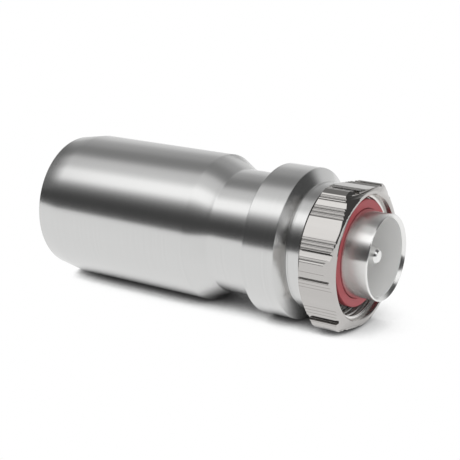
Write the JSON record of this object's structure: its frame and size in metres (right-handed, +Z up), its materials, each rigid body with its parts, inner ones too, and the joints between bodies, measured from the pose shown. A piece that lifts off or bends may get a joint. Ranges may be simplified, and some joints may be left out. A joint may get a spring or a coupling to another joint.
{
  "type": "coaxial cable connector",
  "caption": "Round coaxial cable plug: tubular outer contact, pin centre contact, ribbed hexagonal coupling nut and a long screw-on clamp sleeve for corrugated cable.",
  "frame": {"origin": "on the plug's axis, in the plane of the tube's front rim", "axes": "+X along the axis towards the mating end, +Z up; the plug lies on its collar and sleeve"},
  "size_m": [0.089, 0.036, 0.0358],
  "materials": {
    "satin_body": "bright white-bronze plating, fine turned lines",
    "nickel_nut": "bright nickel plating, fine drawn lines along the axis",
    "contact_silver": "satin silver plating",
    "bronze": "bare turned bronze",
    "red_silicone": "matt red silicone",
    "white_insulator": "white fluoroplastic",
    "black_rubber": "black rubber",
    "spring_steel": "bright spring wire"
  },
  "bodies": {
    "connector_body": {"front_body": "contact_silver", "main_body": "satin_body", "interface_gasket": "red_silicone", "centre_pin": "contact_silver", "rear_contact": "contact_silver", "front_insulator": "white_insulator", "rear_insulator": "white_insulator", "front_seal": "black_rubber", "sleeve_seal": "black_rubber"},
    "nut_washer": {"thrust_washer": "bronze"},
    "nut": {"coupling_nut": "nickel_nut"},
    "clamp": {"clamp_collet": "bronze", "collet_spring": "spring_steel", "slip_ring": "white_insulator"},
    "sleeve": {"clamp_sleeve": "satin_body", "pressure_ring": "bronze", "jacket_seal": "black_rubber"}
  },
  "joints": [
    {"name": "nut_slide", "type": "slide", "parent": "connector_body", "child": "nut_washer", "axis": [1, 0, 0], "range_m": [-0.0004, 0.0025]},
    {"name": "nut_spin", "type": "hinge", "parent": "nut_washer", "child": "nut", "pos_m": [-0.0094, 0, -0.0009], "axis": [1, 0, 0], "continuous": true},
    {"name": "sleeve_slide", "type": "slide", "parent": "connector_body", "child": "clamp", "axis": [-1, 0, 0], "range_m": [0, 0.006]},
    {"name": "sleeve_screw", "type": "hinge", "parent": "clamp", "child": "sleeve", "pos_m": [-0.0665, 0, 0], "axis": [-1, 0, 0], "range_deg": [0, 1440]}
  ],
  "couplings": [
    {"joint": "sleeve_slide", "follows": "sleeve_screw", "m_per_rad": 0.00023873}
  ]
}
